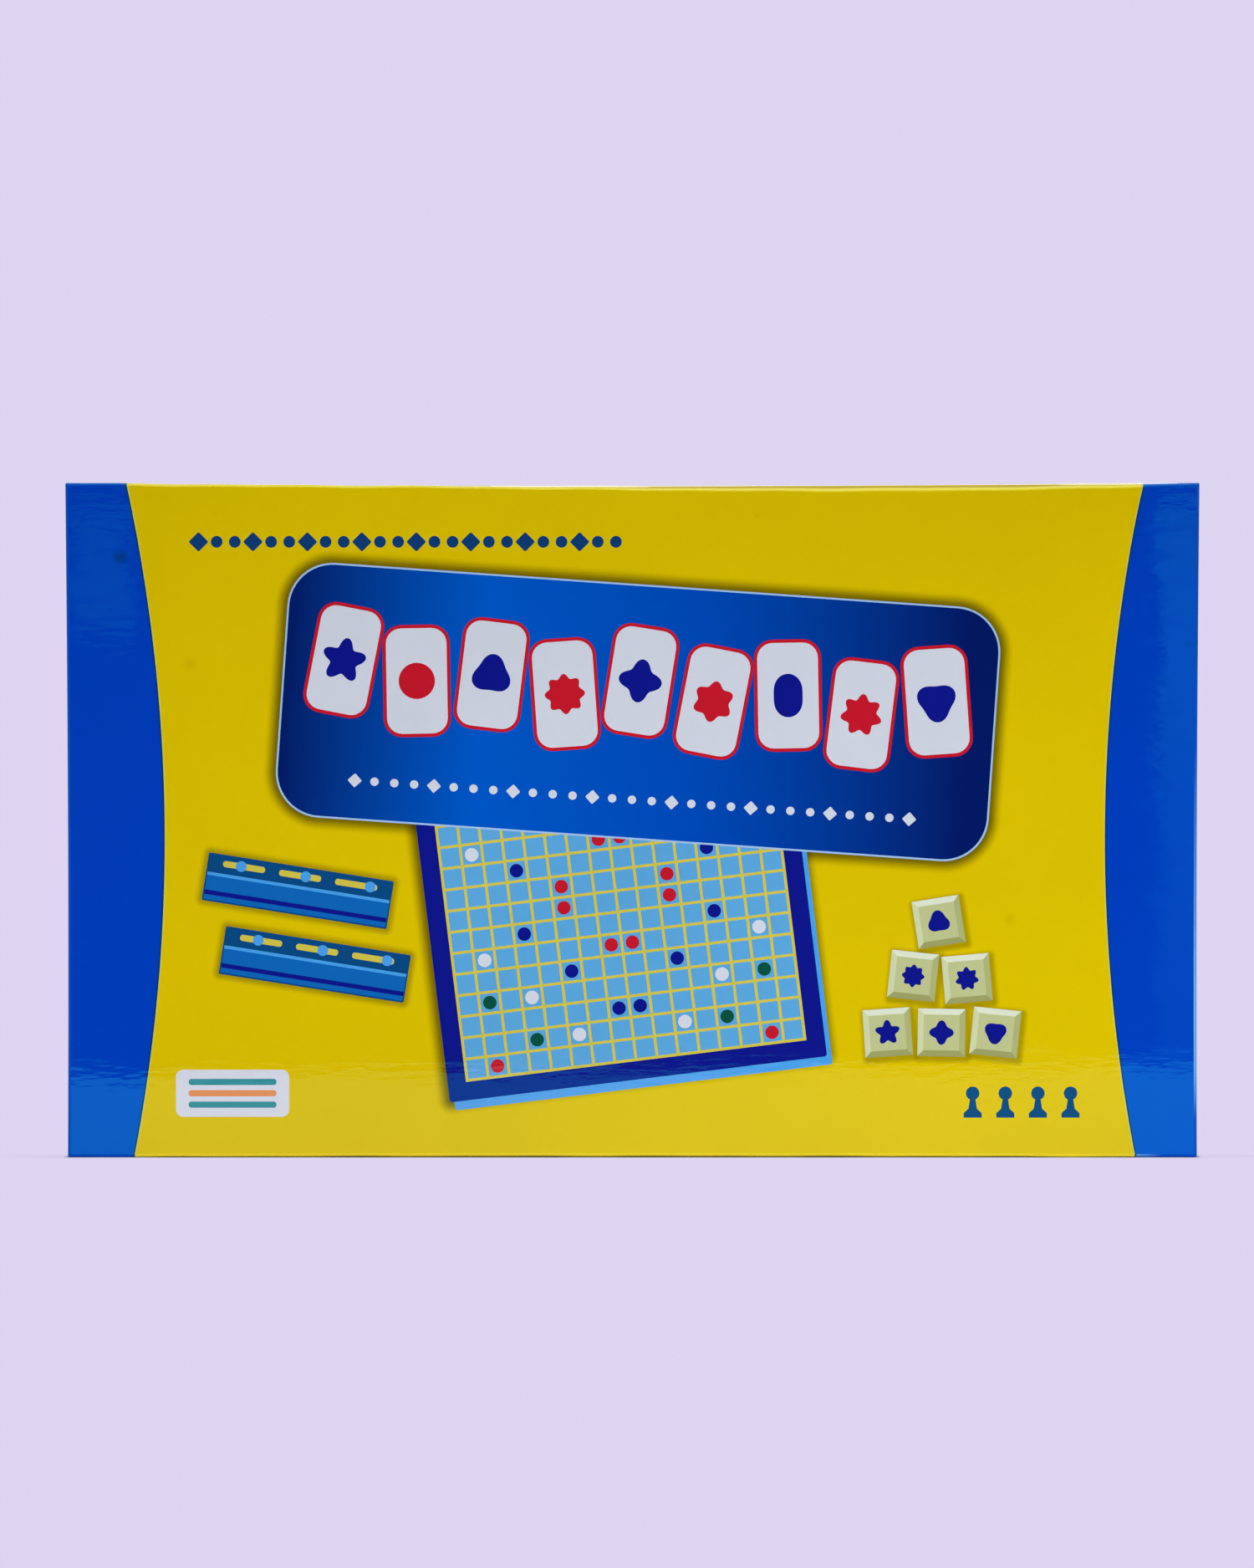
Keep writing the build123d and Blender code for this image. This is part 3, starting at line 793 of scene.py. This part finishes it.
# The folds show worn, paler inks; the blue fold's ink also carries a painted highlight at the
# lower right end.
worn_and_highlit_inks = {INKS.index(ink): INKS.index(f"{ink}_fold") for ink in ("yellow", "blue")}
lid_paper = wrap_piece("lid_paper", lid, lid_regions(), lid_inks(), worn_and_highlit_inks)
settle(lid_paper, "lid", "lid_print", "lid_wrap")
settle(board_piece("lid_shell", lid, greyboard), "lid", "greyboard", "lid_board")

low, high = corners("base_wrap")
base = Box((low.x, low.z), (high.x, high.z), high.y, low.y, straight)
base_inks = [laminate("base_blue", linear(2, 62, 176), (0.12, 0.75, 1.0, 1), roughness=0.12)]
base_paper = wrap_piece("base_paper", base, [], base_inks)
settle(base_paper, "base", "base_print", "base_wrap")
settle(board_piece("base_shell", base, greyboard), "base", "greyboard", "base_board")


# Folding board: the same squares on both panels, counted from the fold

BOARD_INKS = {
    "navy": (12, 24, 112), "lines": (206, 190, 90), "cell": (92, 158, 208),
    "red": (188, 40, 52), "green": (16, 84, 62), "white": (198, 198, 212),
}
PITCH, LINE, SURROUND = 21.6, 1.8, 1.6  # squares, the line between, what the outer line adds


def board_regions(fold_z):
    page = Print(BOARD_INKS)
    rows = BOARD_SQUARES // 2
    width, height = BOARD_SQUARES * PITCH, rows * PITCH
    grid = rounded(width + SURROUND, height + SURROUND)
    page.draw("lines", grid, 0, fold_z - (height / 2 + 0.2))
    for row in range(rows):
        for column in range(BOARD_SQUARES):
            x = (column - (BOARD_SQUARES - 1) / 2) * PITCH
            z = fold_z - (row + 0.5) * PITCH
            page.draw("cell", rounded(PITCH - LINE, PITCH - LINE), x, z)
            mark = board_mark(column, rows - 1 - row)
            if mark:
                page.draw(mark, disc(7.4, 24), x, z)
    return page.regions


low, high = corners("board_hinge")
squares = board_regions((low.z + high.z) / 2)
board_inks = []
for ink, colour in BOARD_INKS.items():
    board_inks.append(laminate(f"board_{ink}", linear(*colour), roughness=0.3))
for panel in ("rear", "front"):
    low, high = corners(f"board_face_{panel}")
    outline = turned(rounded(high.x - low.x, high.z - low.z), 0, (low.z + high.z) / 2)
    front_y, back_y = (low.y, high.y) if panel == "rear" else (high.y, low.y)
    face = sheet_piece(f"board_print_{panel}", outline, front_y, back_y, squares, board_inks)
    settle(face, f"board_{panel}", "board_print", f"board_face_{panel}")


# CAD nodes that show as they are

def dress(name, material):
    mesh = nodes[name].data
    mesh.materials.clear()
    mesh.materials.append(material)


backing = backing_material()
for panel in ("rear", "front"):
    dress(f"board_core_{panel}", greyboard)
    dress(f"board_back_{panel}", backing)
dress("board_hinge", hinge_material())
dress("rules_leaflet", leaflet_material())
tray = moulded(
    "tray_plastic", linear(222, 221, 217), 0.3, 0.0006, grain=900, drift=0.02, subsurface=0.1)
for name in ("rack_tray", "tile_tray"):
    dress(name, tray)
rack_plastic = moulded("rack_plastic", linear(16, 86, 168), 0.28, 0.0004)
pointer_plastic = moulded("pointer_plastic", linear(120, 186, 232), 0.3, 0.0003)
tile_plastic = moulded(
    "tile_plastic", linear(226, 221, 184), 0.32, 0.0005, grain=1800, drift=0.035, subsurface=0.15)
for name in nodes:
    if name.startswith("rack_") and name != "rack_tray":
        dress(name, rack_plastic)
    elif name.startswith("pointer_"):
        dress(name, pointer_plastic)
    elif name.startswith("tiles_"):
        dress(name, tile_plastic)


# Letters on the tiles, with a number that is higher for a rarer letter

TILE_SIDE, TILE_PITCH, TILE_LAYER = 18.5, 18.9, 4.8
WELL_SIDE = 5  # tiles along each side of a well
LETTER_HEIGHT, LETTER_AT = 11.5, (-0.9, 0.6, 0)
NUMBER_HEIGHT, NUMBER_AT = 4.2, (4.9, -4.4, 0)
letter_ink = moulded("letter_ink", linear(18, 26, 92), 0.35, 0.00005, grain=2600, drift=0.08)
tile_nodes = [name for name in nodes if name.startswith("tiles_")]
tile_low = Vector(min(corners(name)[0][k] for name in tile_nodes) for k in range(3))
tile_high = Vector(max(corners(name)[1][k] for name in tile_nodes) for k in range(3))
columns = [tile_low.x + TILE_SIDE / 2 + TILE_PITCH * k for k in range(WELL_SIDE)]
columns += [tile_high.x - TILE_SIDE / 2 - TILE_PITCH * k for k in range(WELL_SIDE)]
rows = [tile_low.z + TILE_SIDE / 2 + TILE_PITCH * k for k in range(WELL_SIDE)]


def nearest(places, value):
    return min(places, key=lambda place: abs(place - value))


def tile_faces(name):
    """The middle of each tile's face in one node, from the corners at a face's height."""
    found = set()
    for vertex in nodes[name].data.vertices:
        x, y, z = vertex.co / MM
        for face_y in (tile_low.y, tile_low.y + TILE_LAYER):
            if abs(y - face_y) < 0.05:
                found.add((nearest(columns, x), face_y, nearest(rows, z)))
    return sorted(found)


points, faces = [], []
for name in tile_nodes:
    if name == "tiles_blank":
        continue
    spots = tile_faces(name)
    letter = glyph(name[-1].upper(), LETTER_HEIGHT)
    number = glyph(str(max(1, 10 // len(spots))), NUMBER_HEIGHT)
    for spot in spots:
        upright = Matrix.Translation(spot) @ Matrix.Rotation(math.radians(90), 4, "X")
        stamp(points, faces, letter, upright @ Matrix.Translation(LETTER_AT))
        stamp(points, faces, number, upright @ Matrix.Translation(NUMBER_AT))
settle(mesh_piece("tile_letters", points, faces, [letter_ink]), "tiles", "tile_plastic")


# Digits on the racks' score panels, above the slots

RIDGE = 7.0  # flat top of a rack
PANEL_DROP, PANEL_RUN = 12.5, 5.5  # height and lean of the sloping score panel
SCORE_PITCH, SCORE_STEP = 60.0, 4.5  # from scale to scale, and from digit to digit
DIGIT_HEIGHT, DIGIT_DROP = 3.2, 2.3
digit_ink = moulded("digit_ink", linear(226, 232, 240), 0.35, 0.00005, grain=2600)
digits = [glyph(str(k), DIGIT_HEIGHT) for k in range(10)]
up = Vector((0, -PANEL_DROP, PANEL_RUN)).normalized()
across = Vector((1, 0, 0))
slope = Matrix((across, up, across.cross(up))).transposed().to_4x4()
for number in range(1, 5):
    low, high = corners(f"rack_{number}")
    top = Vector(((low.x + high.x) / 2, low.y, high.z - RIDGE))
    points, faces = [], []
    for scale_x in (-SCORE_PITCH, 0, SCORE_PITCH):
        for k in range(10):
            spot = top - DIGIT_DROP * up + across * (scale_x + (k - 4.5) * SCORE_STEP)
            stamp(points, faces, digits[k], Matrix.Translation(spot) @ slope)
    piece = mesh_piece(f"rack_digits_{number}", points, faces, [digit_ink])
    settle(piece, f"rack_{number}", "rack_plastic")


# Camera, level with the middle of the picture

PICTURE = 1500, 1875
FOOT_ROW = 1384  # pixel row of the lid's lower edge
SCALE = 0.0002948  # metres of the lid's face in one pixel
DISTANCE = 9.0  # far enough for the pulled lid to stay in the frame
FACE_Y = -0.0225
EYE_X = -0.0019  # the box is a little to the right in the picture
EYE = Vector((EYE_X, FACE_Y - DISTANCE, (FOOT_ROW - PICTURE[1] / 2) * SCALE))

camera = bpy.data.cameras.new("camera")
camera.lens = camera.sensor_width * DISTANCE / (PICTURE[1] * SCALE)
camera.clip_end = 100
eye = bpy.data.objects.new("camera", camera)
eye.location = EYE
eye.rotation_euler = (math.radians(90), 0, 0)
bpy.context.scene.collection.objects.link(eye)
bpy.context.scene.camera = eye
bpy.context.scene.view_settings.view_transform = "Standard"


# Stage

BEHIND_EYE = 0.5  # how far behind the camera the cards stand
CARD_DIM, CARD_BRIGHT = 0.005, 0.215  # heights on the lid between which a card brightens
FLOOR_SHOWS_TO = 0.029, 0.033  # height below which the lid mirrors the floor, left and right
FLOOR_REACH = 1.6
SOFT_REACH, SOFT_SHARE = 0.06, 0.16  # the wide, faint shadow on the floor
CLOSE_REACH, CLOSE_SQUEEZE = 0.005, (5, 1, 1)  # the dark line, shorter past the ends
CURTAIN_BEHIND, CURTAIN_X, CURTAIN_Z = 7, 1.4, 1.2
STANDING = {
    "lid_wrap": lid_paper, "base_wrap": base_paper,
    "board_core_rear": nodes["board_core_rear"],
}


def mirrored(x, z):
    """The place behind the camera that the lid's face shows at x, z."""
    share = (DISTANCE + BEHIND_EYE) / DISTANCE
    return x + (x - EYE.x) * share, FACE_Y - DISTANCE - BEHIND_EYE, z + (z - EYE.z) * share


def floor_edge(x, height):
    """The place on the floor that the lid's face shows at x and that height."""
    away = DISTANCE * height / (EYE.z - height)
    return x + (x - EYE.x) * away / DISTANCE, FACE_Y - away, 0


def stage_plane(name, places, material):
    mesh = bpy.data.meshes.new(name)
    mesh.from_pydata(places, [], [range(len(places))])
    mesh.materials.append(material)
    plane = bpy.data.objects.new(name, mesh)
    bpy.context.scene.collection.objects.link(plane)


def floor_material():
    """Pale floor in the backdrop's colour, shaded near the pieces that stand on it."""
    s = Shader("floor")
    share = 0.0
    for name, piece in STANDING.items():
        low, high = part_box(name)
        middle, half = (low + high) / 2, (high - low) / 2
        beside = s.node("TexCoord", object=piece).outputs["Object"]
        offset = s.vector("ABSOLUTE", s.vector("SUBTRACT", beside, (middle.x, middle.y, 0)))
        past = s.vector("SUBTRACT", offset, (half.x, half.y, 1))
        beyond = s.vector("MAXIMUM", past, (0, 0, 0))
        soft = s.span(s.vector("LENGTH", beyond), 0.0, SOFT_REACH, SOFT_SHARE, 0.0)
        squeezed = s.vector("MULTIPLY", beyond, CLOSE_SQUEEZE)
        close = s.span(s.vector("LENGTH", squeezed), 0.0, CLOSE_REACH, 1.0, 0.0)
        share = s.calc("MAXIMUM", s.calc("MAXIMUM", soft, close), share)
    rays = s.node("LightPath").outputs
    seen = s.calc("MAXIMUM", rays["Is Camera Ray"], rays["Is Glossy Ray"])
    pale = s.ramp(s.noise(9, 3), (0.3, (0.80, 0.79, 0.81, 1)), (0.7, (0.84, 0.83, 0.85, 1)))
    plain = s.node("BsdfDiffuse", {"Color": pale})
    lit = s.node("BsdfDiffuse", {"Color": LAVENDER})
    return s.output(s.either(seen, plain, s.either(share, s.backdrop(), lit)))


def curtain_material():
    """Dark cloth behind the camera for the gloss. Seen directly, it is the backdrop."""
    s = Shader("curtain")
    seen = s.node("LightPath").outputs["Is Camera Ray"]
    dark = s.ramp(s.noise(4, 2), (0.3, (0.01, 0.01, 0.01, 1)), (0.7, (0.02, 0.02, 0.02, 1)))
    cloth = s.node("BsdfDiffuse", {"Color": dark})
    return s.output(s.either(seen, cloth, s.backdrop()))


def card_material(name, strength):
    """A pale card beside the camera for the gloss. Seen directly, it is the backdrop."""
    s = Shader(name)
    seen = s.node("LightPath").outputs["Is Camera Ray"]
    height = s.node("SeparateXYZ", {"Vector": s.where}).outputs["Z"]
    dim, bright = mirrored(0, CARD_DIM)[2], mirrored(0, CARD_BRIGHT)[2]
    power = s.span(height, dim, bright, 0.3 * strength, strength)
    glow = s.node("Emission", {"Color": WHITE, "Strength": power})
    return s.output(s.either(seen, glow, s.backdrop()))


def card(name, low, high, strength):
    """A card that shows in the lid's face between two places, given as x, z."""
    places = low, (low[0], high[1]), high, (high[0], low[1])
    stage_plane(name, [mirrored(*place) for place in places], card_material(name, strength))


left_edge = floor_edge(-LID_HALF * MM, FLOOR_SHOWS_TO[0])
right_edge = floor_edge(LID_HALF * MM, FLOOR_SHOWS_TO[1])
stage_plane("floor", [
    (-FLOOR_REACH, left_edge[1], 0), left_edge, right_edge, (FLOOR_REACH, right_edge[1], 0),
    (FLOOR_REACH, FLOOR_REACH, 0), (-FLOOR_REACH, FLOOR_REACH, 0),
], floor_material())
far = EYE.y - CURTAIN_BEHIND
stage_plane("curtain", [
    (-CURTAIN_X, far, -CURTAIN_Z), (-CURTAIN_X, far, CURTAIN_Z),
    (CURTAIN_X, far, CURTAIN_Z), (CURTAIN_X, far, -CURTAIN_Z),
], curtain_material())
card("card_right", (0.186, -0.033), (0.284, 0.234), 0.33)
card("card_left", (-0.196, 0.186), (-0.177, 0.228), 0.2)


# Light

def studio_world():
    """Dim light from all round. Seen directly or in gloss, it is the backdrop."""
    world = bpy.data.worlds.new("studio")
    bpy.context.scene.world = world
    n = Nodes(world)
    rays = n.node("LightPath").outputs
    gloss = n.calc("MAXIMUM", rays["Is Glossy Ray"], rays["Is Transmission Ray"])
    seen = n.calc("MAXIMUM", rays["Is Camera Ray"], gloss)
    ambient = n.node("Background", {"Color": (0.9, 0.9, 0.95, 1), "Strength": 0.18})
    backdrop = n.node("Background", {"Color": LAVENDER})
    n.node("OutputWorld", {"Surface": n.either(seen, ambient, backdrop).outputs[0]})


def lamp(name, place, target, width, height, power, shine=True, tint=(1, 1, 1)):
    """A soft lamp that the camera doesn't see. Without shine, gloss doesn't show it either."""
    light = bpy.data.lights.new(name, "AREA")
    light.shape = "RECTANGLE"
    light.size, light.size_y = width, height
    light.energy = power
    light.color = tint
    lit = bpy.data.objects.new(name, light)
    lit.location = place
    lit.rotation_euler = (Vector(target) - Vector(place)).to_track_quat("-Z", "Y").to_euler()
    lit.visible_camera = False
    lit.visible_glossy = shine
    bpy.context.scene.collection.objects.link(lit)


studio_world()
COOL = (0.88, 1.0, 0.96)
lamp("overhead", (0, -0.5, 2.2), (0, -0.1, 0), 2.6, 1.8, 34)
lamp("left_front", (-1.7, -2.4, 0.5), (0, 0, 0.1), 1.2, 1.2, 5, False)
lamp("right_front", (1.7, -2.4, 0.5), (0, 0, 0.1), 1.2, 1.2, 8, False, COOL)
lamp("low_front", (0.05, -0.32, 0.02), (0, 0, 0.06), 1.0, 0.04, 1.03, False, COOL)
lamp("low_far", (0.05, -1.09, 0.02), (0, -0.77, 0.06), 1.0, 0.04, 1.0, False, COOL)
lamp("behind", (0, 2.4, 1.8), (0, 0, 0.1), 2.6, 1.6, 24)
